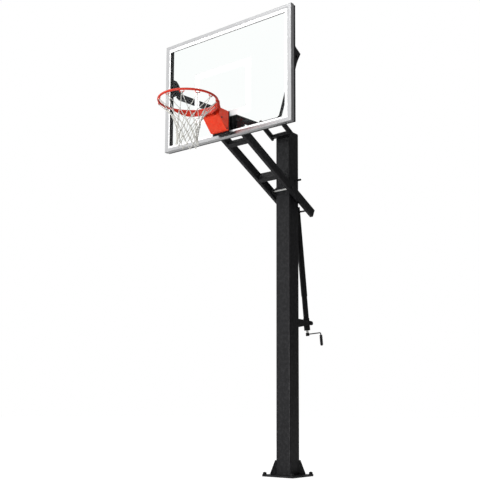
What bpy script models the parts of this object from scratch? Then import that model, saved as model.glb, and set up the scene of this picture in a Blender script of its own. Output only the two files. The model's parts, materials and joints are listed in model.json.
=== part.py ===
"""Anchor-mounted adjustable basketball hoop.

Frame: origin on the ground at the centre of the base plate, +X to the
shooter's right, +Y away from the court, +Z up.  Metres.
The board stands in front of the pole (-Y) on a parallelogram of arms; a
crank-driven screw jack behind the pole swings the arms.
"""
import bpy
import bmesh
import math
from mathutils import Vector

# ---------------------------------------------------------------- dimensions
GAP = 0.0003                    # gap between pieces that touch

# pole and foot
POLE = 0.150                    # square tube, outside
POLE_WALL = 0.005
POLE_R = 0.008                  # corner radius
PLATE = 0.330                   # square base plate
PLATE_T = 0.016
POLE_TOP = 3.135
CAP_TOP = 3.150
ANCHOR = 0.147                  # anchor position along each diagonal (x and y)
ANCHOR_R = 0.010
GUSSET_FOOT = 0.112             # gusset toe along the diagonal (x and y)
GUSSET_TOP = 0.142
GUSSET_T = 0.008

# parallelogram: four axes along X, given as (y, z)
AXIS_A = (-0.100, 2.586)        # lower arms on the pole
AXIS_C = (-0.100, 3.111)        # upper links on the pole
AXIS_B = (-0.7985, 2.9174)       # lower arms on the board
AXIS_D = (-0.7985, 3.4424)       # upper links on the board
LINK = math.hypot(AXIS_B[0] - AXIS_A[0], AXIS_B[1] - AXIS_A[1])
TILT = math.atan2(AXIS_B[1] - AXIS_A[1], AXIS_A[0] - AXIS_B[0])

# lower arms: rectangular tube either side of the pole
ARM_X = 0.093                   # inner face
ARM_W = 0.035
ARM_H = 0.079
ARM_WALL = 0.003
ARM_REAR = -0.388               # along the arm from axis A
ARM_FRONT = 0.792
CROSS_FRONT = (0.674, 0.720)    # along the arm
CROSS_FRONT_H = 0.040
CROSS_MID = (0.183, 0.227)
JACK_PIN_S, JACK_PIN_N = -0.305, -0.028   # jack pin along and across the arm
JACK_PIN_R = 0.008

# upper links
LEG_W = 0.021
LEG_H = 0.050
LEG_WALL = 0.0025
LEG_BACK = -0.026
LEG_FRONT = 0.206
BRACE_W = 0.024
BRACE_H = 0.056
BRACE_N = (-0.031, -0.040)       # brace centre line below the upper axes' plane, inner and outer end
BRACE_S = (0.015, -0.0016)      # and along the links from their outer axis
BRACE_END_X = 0.6345

# hinge hardware
BAR_R = 0.0095                  # bright lower hinge bar
BOLT_R = 0.008
HOLE = 0.0004                   # running clearance on the radius
BLOCK = (-0.1215, -0.0756, 3.0955, 3.1255)   # upper hinge block, y and z
STOP = (0.045, 2.698)           # stop peg, y and z
STOP_R = 0.0095
STOP_X = 0.122

# board
BOARD_W = 1.3716
BOARD_H = 0.983
BOARD_Z = 2.860                 # lower edge
BOARD_Y = -0.931                # front of the trim
TRIM_T = 0.003
TRIM_SIDE = 0.041               # width of the trim's face, sides
TRIM_TB = 0.032                 # the same, top and bottom
TRIM_DEPTH = 0.038
GLASS_T = 0.010
FRAME_Y = -0.868                # back of the steel frame
FRAME_W = 0.040                 # width of the frame's uprights
FRAME_TB = 0.030                # and of its top and bottom rails
FRAME_WALL = 0.0025
BRACKET_X = 0.6395              # side brackets, inner face
BRACKET_T = 0.010
EAR_X = 0.0775
EAR_T = 0.011

# rim
RIM_C = (-1.391, 3.040)         # ring centre, y and z
RING_R = 0.2366                 # to the middle of the rod: 18 in clear inside
ROD_R = 0.0090
BOX_HALF = 0.085
BOX_WALL = 0.004
MOUNT_Y = (-0.9760, -0.9313)
MOUNT_HALF = 0.089
SPACER_HALF = 0.055
MOUNT_Z = (2.872, 3.057)
RIM_AXIS = (-0.9835, 2.8905)    # breakaway hinge, y and z
NET_BOTTOM = 2.650

# screw jack
JACK_E = (0.315, 1.395)         # trunnion between the lugs, y and z
LUG_X = 0.036
LUG_T = 0.008
SLEEVE_R, SLEEVE_BORE = 0.0285, 0.0262
TUBE_R, TUBE_BORE = 0.0254, 0.0222
PUSH_R, PUSH_BORE = 0.0160, 0.0125
SCREW_R, SHAFT_R = 0.0090, 0.0115
HOUSING_R = 0.0285
CRANK_R = 0.232
GRIP_R = 0.0135

# ------------------------------------------------------------------- helpers
for ob in list(bpy.data.objects):
    bpy.data.objects.remove(ob, do_unlink=True)


def material(name, colour, rough, metal):
    m = bpy.data.materials.new(name)
    m.use_nodes = True
    b = m.node_tree.nodes["Principled BSDF"]
    b.inputs["Base Color"].default_value = (colour[0], colour[1], colour[2], 1.0)
    b.inputs["Roughness"].default_value = rough
    b.inputs["Metallic"].default_value = metal
    m.diffuse_color = (colour[0], colour[1], colour[2], 1.0)
    return m


def mat_copy(base, name):
    m = base.copy()
    m.name = name
    return m


BLACK = material("black_powder_coat", (0.012, 0.012, 0.013), 0.45, 0.0)
ZINC = material("zinc_plate", (0.62, 0.62, 0.60), 0.35, 1.0)
SILVER = material("silver_aluminium", (0.62, 0.63, 0.65), 0.40, 0.8)
GLASS = material("clear_glass", (0.90, 0.95, 0.93), 0.03, 0.0)
ORANGE = material("orange_powder_coat", (0.80, 0.075, 0.020), 0.40, 0.0)
ROPE = material("white_net_cord", (0.85, 0.85, 0.82), 0.85, 0.0)
PLASTIC = material("black_plastic", (0.02, 0.02, 0.02), 0.55, 0.0)
SPRING = material("spring_steel", (0.25, 0.25, 0.26), 0.35, 1.0)


def empty(name, x, y, z, parent=None):
    e = bpy.data.objects.new(name, None)
    bpy.context.scene.collection.objects.link(e)
    e.empty_display_size = 0.05
    attach(e, (x, y, z), parent)
    return e


def world_of(ob):
    v = Vector(ob.location)
    p = ob.parent
    while p is not None:
        v += Vector(p.location)
        p = p.parent
    return v


def attach(ob, origin, parent):
    ob.parent = parent
    base = world_of(parent) if parent is not None else Vector((0, 0, 0))
    ob.location = Vector(origin) - base


def finish(name, bm, mat, parent=None, origin=None, smooth=None):
    """Make an object from a bmesh given in world coordinates."""
    bmesh.ops.recalc_face_normals(bm, faces=bm.faces)
    if origin is None:
        if parent is not None:
            origin = world_of(parent)
        else:
            lo = [min(v.co[i] for v in bm.verts) for i in range(3)]
            hi = [max(v.co[i] for v in bm.verts) for i in range(3)]
            origin = [(lo[i] + hi[i]) / 2 for i in range(3)]
    o = Vector(origin)
    for v in bm.verts:
        v.co -= o
    me = bpy.data.meshes.new(name)
    bm.to_mesh(me)
    bm.free()
    if mat is not None:
        me.materials.append(mat_copy(mat, name + "_mat"))
    ob = bpy.data.objects.new(name, me)
    bpy.context.scene.collection.objects.link(ob)
    attach(ob, origin, parent)
    if smooth is not None:
        me.shade_smooth()
        me.set_sharp_from_angle(angle=math.radians(smooth))
    return ob


def helper(ob):
    ob.hide_render = True
    ob.display_type = 'WIRE'
    return ob


def boolean(ob, other, op):
    helper(other)
    m = ob.modifiers.new(op.lower(), 'BOOLEAN')
    m.operation = op
    m.solver = 'EXACT'
    m.object = other
    m.show_viewport = m.show_render = True


def cut(ob, *others):
    for o in others:
        boolean(ob, o, 'DIFFERENCE')


def fuse(ob, *others):
    for o in others:
        boolean(ob, o, 'UNION')


def loft(bm, loops, closed_ends=True, ring=False):
    """Skin a list of equal vertex loops (lists of Vectors)."""
    vs = [[bm.verts.new(p) for p in lp] for lp in loops]
    n = len(vs[0])
    pairs = list(zip(vs[:-1], vs[1:]))
    if ring:
        pairs.append((vs[-1], vs[0]))
    for a, b in pairs:
        for i in range(n):
            j = (i + 1) % n
            bm.faces.new((a[i], a[j], b[j], b[i]))
    if closed_ends and not ring:
        bm.faces.new(list(reversed(vs[0])))
        bm.faces.new(vs[-1])
    return vs


def rounded_rect(w, h, r, seg=3):
    """Points of a rounded rectangle centred on the origin."""
    if r <= 0:
        return [(-w / 2, -h / 2), (w / 2, -h / 2), (w / 2, h / 2), (-w / 2, h / 2)]
    pts = []
    for cx, cy, a0 in ((w / 2 - r, -h / 2 + r, -90), (w / 2 - r, h / 2 - r, 0),
                       (-w / 2 + r, h / 2 - r, 90), (-w / 2 + r, -h / 2 + r, 180)):
        for k in range(seg + 1):
            a = math.radians(a0 + 90 * k / seg)
            pts.append((cx + r * math.cos(a), cy + r * math.sin(a)))
    return pts


def section(p0, p1, u, v, w, h, r=0.0, seg=3):
    """Two loops of a rounded rectangle, w along u and h along v."""
    p0, p1, u, v = Vector(p0), Vector(p1), Vector(u), Vector(v)
    q = rounded_rect(w, h, r, seg)
    return [[p + u * a + v * b for a, b in q] for p in (p0, p1)]


def bar(name, p0, p1, u, v, w, h, mat, parent=None, r=0.0, seg=3, smooth=None):
    bm = bmesh.new()
    loft(bm, section(p0, p1, u, v, w, h, r, seg))
    return finish(name, bm, mat, parent, smooth=smooth)


def hollow(name, p0, p1, u, v, w, h, wall, mat, parent=None, r=0.0, seg=3, smooth=None):
    """Open-ended rectangular tube."""
    bm = bmesh.new()
    o0, o1 = section(p0, p1, u, v, w, h, r, seg)
    i0, i1 = section(p0, p1, u, v, w - 2 * wall, h - 2 * wall, max(r - wall, 0.0005) if r > 0 else 0.0, seg)
    loft(bm, [o0, o1, i1, i0], ring=True)
    return finish(name, bm, mat, parent, smooth=smooth)


def circle(p, u, v, r, n):
    return [Vector(p) + Vector(u) * (r * math.cos(2 * math.pi * k / n))
            + Vector(v) * (r * math.sin(2 * math.pi * k / n)) for k in range(n)]


def frame_of(axis):
    a = Vector(axis).normalized()
    t = Vector((0, 0, 1)) if abs(a.z) < 0.9 else Vector((1, 0, 0))
    u = a.cross(t).normalized()
    return a, u, a.cross(u).normalized()


def turned(name, p0, axis, profile, mat, parent=None, n=16, smooth=35, bore=None):
    """Solid of revolution: profile is (distance along axis, radius)."""
    bm = bmesh.new()
    a, u, v = frame_of(axis)
    loops = [circle(Vector(p0) + a * s, u, v, r, n) for s, r in profile]
    if bore is None:
        loft(bm, loops)
    else:
        s0, s1 = profile[0][0], profile[-1][0]
        loops += [circle(Vector(p0) + a * s1, u, v, bore, n),
                  circle(Vector(p0) + a * s0, u, v, bore, n)]
        loft(bm, loops, ring=True)
    return finish(name, bm, mat, parent, smooth=smooth)


def rod(name, p0, p1, r, mat, parent=None, n=16, bore=None):
    p0, p1 = Vector(p0), Vector(p1)
    return turned(name, p0, p1 - p0, [(0.0, r), ((p1 - p0).length, r)], mat, parent, n, bore=bore)


def bolt(name, y, z, xa, xb, r, mat, parent=None, head=0.014, head_t=0.009):
    """Bolt along X from xa to xb (ends of the shank) with a hex head and nut."""
    b = rod(name, (xa - head_t * 0.6, y, z), (xb + head_t * 0.6, y, z), r, mat, parent)
    h1 = rod(name + "_head", (xa - head_t, y, z), (xa, y, z), head, None, parent, n=6)
    h2 = rod(name + "_nut", (xb, y, z), (xb + head_t, y, z), head, None, parent, n=6)
    fuse(b, h1, h2)
    return b


def plate_x(name, poly, x0, x1, mat, parent=None):
    """Plate normal to X from a (y, z) outline."""
    bm = bmesh.new()
    loft(bm, [[Vector((x, y, z)) for y, z in poly] for x in (x0, x1)])
    return finish(name, bm, mat, parent)


def hole_x(name, y, z, x0, x1, r, parent=None, n=16):
    return helper(rod(name, (x0, y, z), (x1, y, z), r, None, parent, n=n))


X, Y, Z = Vector((1, 0, 0)), Vector((0, 1, 0)), Vector((0, 0, 1))
ARM_D = Vector((0, -math.cos(TILT), math.sin(TILT)))     # along the arms, to the board
ARM_N = Vector((0, math.sin(TILT), math.cos(TILT)))      # across the arms, upwards


def arm_point(x, s, n, axis=AXIS_A):
    return Vector((x, axis[0], axis[1])) + ARM_D * s + ARM_N * n


# --------------------------------------------------------------------- foot
plate = bar("base_plate", (0, 0, 0), (0, 0, PLATE_T), X, Y, PLATE, PLATE, BLACK, r=0.006, seg=2)
for i, (sx, sy) in enumerate(((-1, -1), (1, -1), (1, 1), (-1, 1)), 1):
    cut(plate, helper(rod("anchor_hole_%d" % i, (sx * ANCHOR, sy * ANCHOR, -0.01),
                          (sx * ANCHOR, sy * ANCHOR, PLATE_T + 0.01), ANCHOR_R + 0.0015, None)))

pole = hollow("pole_tube", (0, 0, PLATE_T + GAP), (0, 0, POLE_TOP), X, Y, POLE, POLE,
              POLE_WALL, BLACK, r=POLE_R, smooth=40)

for i, (sx, sy) in enumerate(((-1, -1), (1, -1), (1, 1), (-1, 1)), 1):
    # diagonal stiffener from the pole's corner to the plate
    d = Vector((sx, sy, 0))
    side = Vector((-sy, sx, 0)).normalized() * (GUSSET_T / 2)
    t0 = POLE / 2 - POLE_R + POLE_R / math.sqrt(2) + 0.0004
    prof = [(t0, PLATE_T + GAP), (GUSSET_FOOT, PLATE_T + GAP), (GUSSET_FOOT, PLATE_T + 0.012),
            (t0 + 0.008, GUSSET_TOP), (t0, GUSSET_TOP)]
    bm = bmesh.new()
    loft(bm, [[d * t + Z * z + side * k for t, z in prof] for k in (-1, 1)])
    finish("base_gusset_%d" % i, bm, BLACK)

    # anchor stud, washer and nut
    c = Vector((sx * ANCHOR, sy * ANCHOR, 0))
    stud = rod("anchor_bolt_%d" % i, c + Z * 0.002, c + Z * 0.048, ANCHOR_R, ZINC)
    washer = rod("anchor_washer_%d" % i, c + Z * (PLATE_T + GAP), c + Z * (PLATE_T + 0.0035), 0.0185, None)
    nut = rod("anchor_nut_%d" % i, c + Z * (PLATE_T + 0.003), c + Z * (PLATE_T + 0.0190), 0.0165, None, n=6)
    fuse(stud, washer, nut)

# pole cap: a shallow dome with a spigot inside the tube
spig = POLE - 2 * POLE_WALL - 0.002
bm = bmesh.new()
loops = []
for z, w, r in ((POLE_TOP - 0.020, spig, 0.004), (POLE_TOP + GAP, spig, 0.004),
                (POLE_TOP + GAP, POLE, POLE_R), (CAP_TOP - 0.0090, POLE, POLE_R),
                (CAP_TOP - 0.0050, POLE - 0.0030, POLE_R), (CAP_TOP - 0.0018, POLE - 0.0100, POLE_R),
                (CAP_TOP, POLE - 0.0220, POLE_R)):
    loops.append([Vector((px, py, z)) for px, py in rounded_rect(w, w, r)])
loft(bm, loops)
cap = finish("pole_cap", bm, PLASTIC, smooth=40)

# ------------------------------------------------- pole-side hinge hardware
y0, y1, z0, z1 = BLOCK
block = hollow("upper_hinge_block", (-0.0905, (y0 + y1) / 2, (z0 + z1) / 2),
               (0.0905, (y0 + y1) / 2, (z0 + z1) / 2), Y, Z, y1 - y0, z1 - z0, 0.004, BLACK,
               r=0.004, smooth=40)
bolt("upper_hinge_bolt", AXIS_C[0], AXIS_C[1], -(ARM_X + LEG_W + 0.0006),
     ARM_X + LEG_W + 0.0006, BOLT_R, ZINC)

for side, tag in ((-1, "left"), (1, "right")):
    a0 = POLE / 2 + GAP
    a1 = a0 + 0.012
    ear = [(0.010, AXIS_A[1] - 0.055), (0.010, AXIS_A[1] + 0.055), (-0.055, AXIS_A[1] + 0.050)]
    for k in range(9):
        a = math.radians(60 + 240 * k / 8)
        ear.append((AXIS_A[0] + 0.024 * math.cos(a), AXIS_A[1] + 0.024 * math.sin(a)))
    ear.append((-0.055, AXIS_A[1] - 0.050))
    lug = plate_x("lower_hinge_lug_" + tag, ear, side * a0, side * a1, BLACK)
    cut(lug, hole_x("lug_bore_" + tag, AXIS_A[0], AXIS_A[1], side * (a0 - 0.01),
                    side * (a1 + 0.01), BAR_R + HOLE))
hb = rod("lower_hinge_bar", (-(ARM_X + ARM_W + 0.010), AXIS_A[0], AXIS_A[1]),
         (ARM_X + ARM_W + 0.010, AXIS_A[0], AXIS_A[1]), BAR_R, ZINC)
for side, tag in ((-1, "left"), (1, "right")):
    fuse(hb, rod("hinge_bar_head_" + tag, (side * (ARM_X + ARM_W + 0.0006), AXIS_A[0], AXIS_A[1]),
                 (side * (ARM_X + ARM_W + 0.0085), AXIS_A[0], AXIS_A[1]), 0.0155, None, n=6))

# stop peg through the pole: the arms meet it at the lowest height
cut(pole, hole_x("stop_bore", STOP[0], STOP[1], -0.09, 0.09, STOP_R + GAP))
peg = turned("stop_peg", (-STOP_X, STOP[0], STOP[1]), X,
             [(0.0, STOP_R - 0.0015), (0.0015, STOP_R), (2 * STOP_X - 0.0015, STOP_R),
              (2 * STOP_X, STOP_R - 0.0015)], ZINC)

# jack lugs behind the pole
for side, tag in ((-1, "left"), (1, "right")):
    y_w = POLE / 2 + GAP
    outline = [(y_w, 1.337), (y_w + 0.045, 1.3385), (0.295, 1.372)]
    nose_c = (0.335, 1.3935)
    outline += [(nose_c[0] + 0.024 * math.cos(math.radians(a)),
                 nose_c[1] + 0.0195 * math.sin(math.radians(a))) for a in range(-75, 76, 15)]
    outline += [(0.295, 1.4145), (y_w + 0.045, 1.4155), (y_w, 1.4155)]
    lug = plate_x("jack_lug_" + tag, outline, side * LUG_X, side * (LUG_X + LUG_T), BLACK)
    boss = rod("jack_lug_boss_" + tag, (side * (LUG_X + LUG_T - 0.002), JACK_E[0], JACK_E[1]),
               (side * (LUG_X + LUG_T + 0.009), JACK_E[0], JACK_E[1]), 0.0125, None, n=6)
    fuse(lug, boss)

# ------------------------------------------------------------ lower arms
lift = empty("lift_axis", 0, AXIS_A[0], AXIS_A[1])
for side, tag in ((-1, "left"), (1, "right")):
    xc = side * (ARM_X + ARM_W / 2)
    arm = hollow("lower_arm_" + tag, arm_point(xc, ARM_REAR + 0.002, 0), arm_point(xc, ARM_FRONT, 0),
                 X, ARM_N, ARM_W, ARM_H, ARM_WALL, BLACK, lift, r=0.005, smooth=40)
    cut(arm, hole_x("arm_bore_a_" + tag, AXIS_A[0], AXIS_A[1], side * 0.08, side * 0.14,
                    BAR_R + HOLE, lift),
        hole_x("arm_bore_b_" + tag, AXIS_B[0], AXIS_B[1], side * 0.08, side * 0.14,
               BOLT_R + HOLE, lift))
    pin_at = arm_point(0, JACK_PIN_S, JACK_PIN_N)
    cut(arm, hole_x("arm_bore_t_" + tag, pin_at.y, pin_at.z, side * 0.08, side * 0.14,
                    JACK_PIN_R + HOLE, lift))
    # moulded plug closing the rear end, chamfered below
    o0 = arm_point(xc, ARM_REAR - 0.003, 0)
    o1 = arm_point(xc, ARM_REAR + 0.0017, 0)
    plug = bar("arm_end_plug_" + tag, o0, o1, X, ARM_N, ARM_W, ARM_H, PLASTIC, lift,
               r=0.005, smooth=40)
    stub = bar("arm_plug_stub_" + tag, o1 - ARM_D * 0.001, o1 + ARM_D * 0.018, X, ARM_N,
               ARM_W - 2 * ARM_WALL - 0.001, ARM_H - 2 * ARM_WALL - 0.001, None, lift, r=0.003)
    fuse(plug, stub)

cx = ARM_X - GAP
n_lo = -ARM_H / 2 + 0.0005
sa, sb = CROSS_FRONT
hollow("arm_cross_front", arm_point(-cx, (sa + sb) / 2, n_lo + CROSS_FRONT_H / 2),
       arm_point(cx, (sa + sb) / 2, n_lo + CROSS_FRONT_H / 2), ARM_D, ARM_N, sb - sa,
       CROSS_FRONT_H, 0.003, BLACK, lift, r=0.004, smooth=40)
sa, sb = CROSS_MID
hollow("arm_cross_middle", arm_point(-cx, (sa + sb) / 2, 0), arm_point(cx, (sa + sb) / 2, 0),
       ARM_D, ARM_N, sb - sa, ARM_H - 0.001, 0.003, BLACK, lift, r=0.004, smooth=40)

T = arm_point(0, JACK_PIN_S, JACK_PIN_N)
bolt("jack_top_pin", T.y, T.z, -(ARM_X + ARM_W + 0.0006), ARM_X + ARM_W + 0.0006, JACK_PIN_R,
     ZINC, lift, head=0.013, head_t=0.008)
bolt("lower_board_bolt", AXIS_B[0], AXIS_B[1], -(ARM_X + ARM_W + 0.0006),
     ARM_X + ARM_W + 0.0006, BOLT_R, ZINC, lift)

# ------------------------------------------------------------ upper links
link = empty("link_axis", 0, AXIS_C[0], AXIS_C[1])
for side, tag in ((-1, "left"), (1, "right")):
    xc = side * (ARM_X + LEG_W / 2)
    leg = hollow("upper_leg_" + tag, arm_point(xc, LEG_BACK, 0, AXIS_C), arm_point(xc, LEG_FRONT, 0, AXIS_C),
                 X, ARM_N, LEG_W, LEG_H, LEG_WALL, BLACK, link, r=0.004, smooth=40)
    cut(leg, hole_x("leg_bore_" + tag, AXIS_C[0], AXIS_C[1], side * 0.08, side * 0.14,
                    BOLT_R + HOLE, link))
    # diagonal brace just under the plane of the two upper axes, mitred on planes X = const
    xa, xb = ARM_X + LEG_W + GAP, BRACE_END_X
    s_a, s_b = 0.180 + BRACE_S[0], LINK + BRACE_S[1]
    ds = (s_b - s_a) / (xb - xa)
    half = BRACE_W / 2 * math.sqrt(1 + ds * ds)      # half width measured along the link direction
    wall_s = LEG_WALL * math.sqrt(1 + ds * ds)

    def loop(x, k):
        s_c = s_a + ds * (x - xa)
        n_c = BRACE_N[0] + (BRACE_N[1] - BRACE_N[0]) * (x - xa) / (xb - xa)
        return [arm_point(side * x, s_c + su * (half - k * wall_s), n_c + n * (BRACE_H / 2 - k * LEG_WALL), AXIS_C)
                for su, n in ((-1, -1), (1, -1), (1, 1), (-1, 1))]
    bm = bmesh.new()
    loft(bm, [loop(xa, 0), loop(xb, 0), loop(xb, 1), loop(xa, 1)], ring=True)
    brace = finish("upper_brace_" + tag, bm, BLACK, link)
    # end plate that closes the brace and rises to the board bolt
    ear = [arm_point(0, LINK + 0.021 * math.cos(math.radians(a)), 0.021 * math.sin(math.radians(a)), AXIS_C)
           for a in range(-10, 196, 20)]
    ear += [arm_point(0, s_b - half + 0.0005, BRACE_N[1] - BRACE_H / 2 + 0.0005, AXIS_C),
            arm_point(0, s_b + half - 0.0005, BRACE_N[1] - BRACE_H / 2 + 0.0005, AXIS_C)]
    plate_e = plate_x("brace_plate_" + tag, [(p.y, p.z) for p in ear], side * (BRACE_END_X - 0.008),
                      side * (BRACE_END_X + 0.0012), None, link)
    boss = rod("brace_boss_" + tag, (side * (BRACE_END_X - 0.022), AXIS_D[0], AXIS_D[1]),
               (side * (BRACE_END_X + 0.002), AXIS_D[0], AXIS_D[1]), 0.0145, None, link)
    fuse(brace, plate_e, boss)
    cut(brace, hole_x("brace_bore_" + tag, AXIS_D[0], AXIS_D[1], side * 0.56,
                      side * 0.69, BOLT_R + HOLE, link))
hollow("upper_cross", arm_point(-cx, 0.186, 0, AXIS_C), arm_point(cx, 0.186, 0, AXIS_C),
       ARM_D, ARM_N, 0.030, 0.034, 0.0025, BLACK, link, r=0.004, smooth=40)

# ------------------------------------------------------------------ board
board = empty("board_axis", 0, AXIS_B[0], AXIS_B[1], lift)
zb, zt = BOARD_Z, BOARD_Z + BOARD_H
zc = (zb + zt) / 2
hw, hh = BOARD_W / 2, BOARD_H / 2

bm = bmesh.new()
gw, gh = BOARD_W - 0.008, BOARD_H - 0.008
gy0 = BOARD_Y + TRIM_T + GAP
gy1 = gy0 + GLASS_T
loft(bm, section((0, gy0, zc), (0, gy1, zc), X, Z, gw, gh))
glass = finish("glass_panel", bm, GLASS, board)
for i, (bx, bz) in enumerate(((-0.060, 2.915), (0.060, 2.915), (-0.060, 3.020), (0.060, 3.020)), 1):
    cut(glass, helper(rod("glass_hole_%d" % i, (bx, gy0 - 0.01, bz), (bx, gy1 + 0.01, bz),
                          0.0090, None, board, n=20)))


def trim(name, along, across, length, width, other_width):
    """L-shaped edge trim, mitred; 'across' points from the outer edge inwards."""
    outer = hh if abs(across.z) > 0.5 else hw
    slope = other_width / width
    prof = [(0.0, 0.0), (width, 0.0), (width, TRIM_T), (TRIM_T, TRIM_T), (TRIM_T, TRIM_DEPTH), (0.0, TRIM_DEPTH)]
    c = Vector((0, BOARD_Y, zc)) - across * outer
    bm = bmesh.new()
    loops = []
    for s in (-1, 1):
        loops.append([c + across * a + Y * b + along * (s * (length / 2 - a * slope - 0.0002))
                      for a, b in prof])
    loft(bm, loops)
    return finish(name, bm, SILVER, board)


trim("trim_bottom", X, Z, BOARD_W, TRIM_TB, TRIM_SIDE)
trim("trim_top", X, -Z, BOARD_W, TRIM_TB, TRIM_SIDE)
trim("trim_left", Z, X, BOARD_H, TRIM_SIDE, TRIM_TB)
trim("trim_right", Z, -X, BOARD_H, TRIM_SIDE, TRIM_TB)


def frame_tube(name, along, across, length, width, other_width):
    """Mitred rectangular tube of the steel frame behind the glass."""
    outer = (hh if abs(across.z) > 0.5 else hw) - TRIM_T - GAP
    slope = other_width / width
    ya, yb = gy1 + GAP, FRAME_Y
    c = Vector((0, 0, zc)) - across * outer
    loops = []
    rings = ((0.0, width, ya, yb), (FRAME_WALL, width - FRAME_WALL, ya + FRAME_WALL, yb - FRAME_WALL))
    for k, s in ((0, -1), (0, 1), (1, 1), (1, -1)):
        a0, a1, b0, b1 = rings[k]
        loops.append([c + across * a + Y * b + along * (s * (length / 2 - TRIM_T - GAP - a * slope - 0.0002))
                      for a, b in ((a0, b0), (a1, b0), (a1, b1), (a0, b1))])
    bm = bmesh.new()
    loft(bm, loops, ring=True)
    return finish(name, bm, BLACK, board)


frame_tube("frame_bottom", X, Z, BOARD_W, FRAME_TB, FRAME_W)
frame_tube("frame_top", X, -Z, BOARD_W, FRAME_TB, FRAME_W)
frame_tube("frame_left", Z, X, BOARD_H, FRAME_W, FRAME_TB)
frame_tube("frame_right", Z, -X, BOARD_H, FRAME_W, FRAME_TB)

# side brackets that carry the upper links
for side, tag in ((-1, "left"), (1, "right")):
    yb = FRAME_Y + GAP
    if side < 0:
        outline = [(yb, 3.388), (yb + 0.012, 3.391), (-0.8190, 3.4150)]
        outline += [(AXIS_D[0] + 0.0185 * math.cos(math.radians(a)),
                     AXIS_D[1] + 0.0185 * math.sin(math.radians(a))) for a in range(-105, 31, 15)]
        outline += [(-0.7850, 3.4620), (-0.7880, 3.5000), (-0.8000, 3.5190), (-0.8170, 3.5330),
                    (yb + 0.036, 3.5450), (yb, 3.5450)]
    else:
        outline = [(yb, 3.262), (yb + 0.012, 3.262), (-0.8219, 3.3187), (-0.7969, 3.3869), (-0.7748, 3.4288),
                   (-0.7445, 3.4805), (-0.7460, 3.4850), (-0.8077, 3.5151), (-0.8192, 3.5254),
                   (yb + 0.040, 3.5290), (yb, 3.5290)]
    br = plate_x("side_bracket_" + tag, outline, side * BRACKET_X, side * (BRACKET_X + BRACKET_T),
                 BLACK, board)
    cut(br, hole_x("bracket_bore_" + tag, AXIS_D[0], AXIS_D[1], side * 0.62, side * 0.68,
                   BOLT_R + HOLE, board))
    # the bolt turns with the bracket and fills the brace's barrel
    ob = rod("upper_board_bolt_" + tag, (side * (BRACE_END_X - 0.034), AXIS_D[0], AXIS_D[1]),
             (side * (BRACKET_X + BRACKET_T + 0.0060), AXIS_D[0], AXIS_D[1]), BOLT_R, ZINC, board)
    fuse(ob, rod("board_bolt_head_" + tag, (side * (BRACKET_X + BRACKET_T + GAP), AXIS_D[0], AXIS_D[1]),
                 (side * (BRACKET_X + BRACKET_T + 0.008), AXIS_D[0], AXIS_D[1]), 0.0125, None, board, n=6),
         rod("board_bolt_nut_" + tag, (side * (BRACE_END_X - 0.032), AXIS_D[0], AXIS_D[1]),
             (side * (BRACE_END_X - 0.0225), AXIS_D[0], AXIS_D[1]), 0.0113, None, board, n=6))

# lower bracket: a plate on the frame's back with two ears for the arms
ya, yb = FRAME_Y + GAP, FRAME_Y + 0.010
prof = [(-0.166, 2.868), (0.166, 2.868), (0.166, 2.980), (0.146, 3.004), (-0.146, 3.004), (-0.166, 2.980)]
bm = bmesh.new()
loft(bm, [[Vector((x, y, z)) for x, z in prof] for y in (ya, yb)])
lower_bracket = finish("lower_board_bracket", bm, BLACK, board)
for side, tag in ((-1, "left"), (1, "right")):
    ear = [(yb - 0.003, AXIS_B[1] - 0.038), (AXIS_B[0] - 0.020, AXIS_B[1] - 0.030)]
    ear += [(AXIS_B[0] + 0.021 * math.cos(math.radians(a)),
             AXIS_B[1] + 0.021 * math.sin(math.radians(a))) for a in range(-75, 76, 15)]
    ear += [(AXIS_B[0] - 0.020, AXIS_B[1] + 0.030), (yb - 0.003, AXIS_B[1] + 0.060)]
    e = plate_x("board_ear_" + tag, ear, side * EAR_X, side * (EAR_X + EAR_T), None, board)
    fuse(lower_bracket, e)
cut(lower_bracket, hole_x("ear_bore", AXIS_B[0], AXIS_B[1], -0.12, 0.12, BOLT_R + HOLE, board))

# rim mount: a steel plate held off the glass by a narrower box spacer
zm = (MOUNT_Z[0] + MOUNT_Z[1]) / 2
hm = MOUNT_Z[1] - MOUNT_Z[0]
mount = bar("rim_mount", (0, MOUNT_Y[0], zm), (0, MOUNT_Y[0] + 0.0065, zm), X, Z, 2 * MOUNT_HALF, hm,
            BLACK, board, r=0.005, smooth=40)
spacer = bar("rim_mount_spacer", (0, MOUNT_Y[0] + 0.002, zm), (0, MOUNT_Y[1] - 0.0002, zm), X, Z,
             2 * SPACER_HALF, hm - 0.016, None, board, r=0.004)
pocket = helper(bar("rim_mount_pocket", (0, MOUNT_Y[0] + 0.012, zm), (0, MOUNT_Y[1] + 0.01, zm), X, Z,
                    2 * SPACER_HALF - 0.012, hm - 0.028, None, board))
fuse(mount, spacer)
cut(mount, pocket)
# pad behind the glass, between glass and tapered plate
pad = bar("rim_backing_pad", (0, gy1 + GAP, 2.9735), (0, FRAME_Y, 2.9735), X, Z, 0.160, 0.155,
          BLACK, board, r=0.004)

# ------------------------------------------------------------------- rim
rim = empty("rim_axis", 0, RIM_AXIS[0], RIM_AXIS[1], board)
yr, zr = RIM_C

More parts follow.
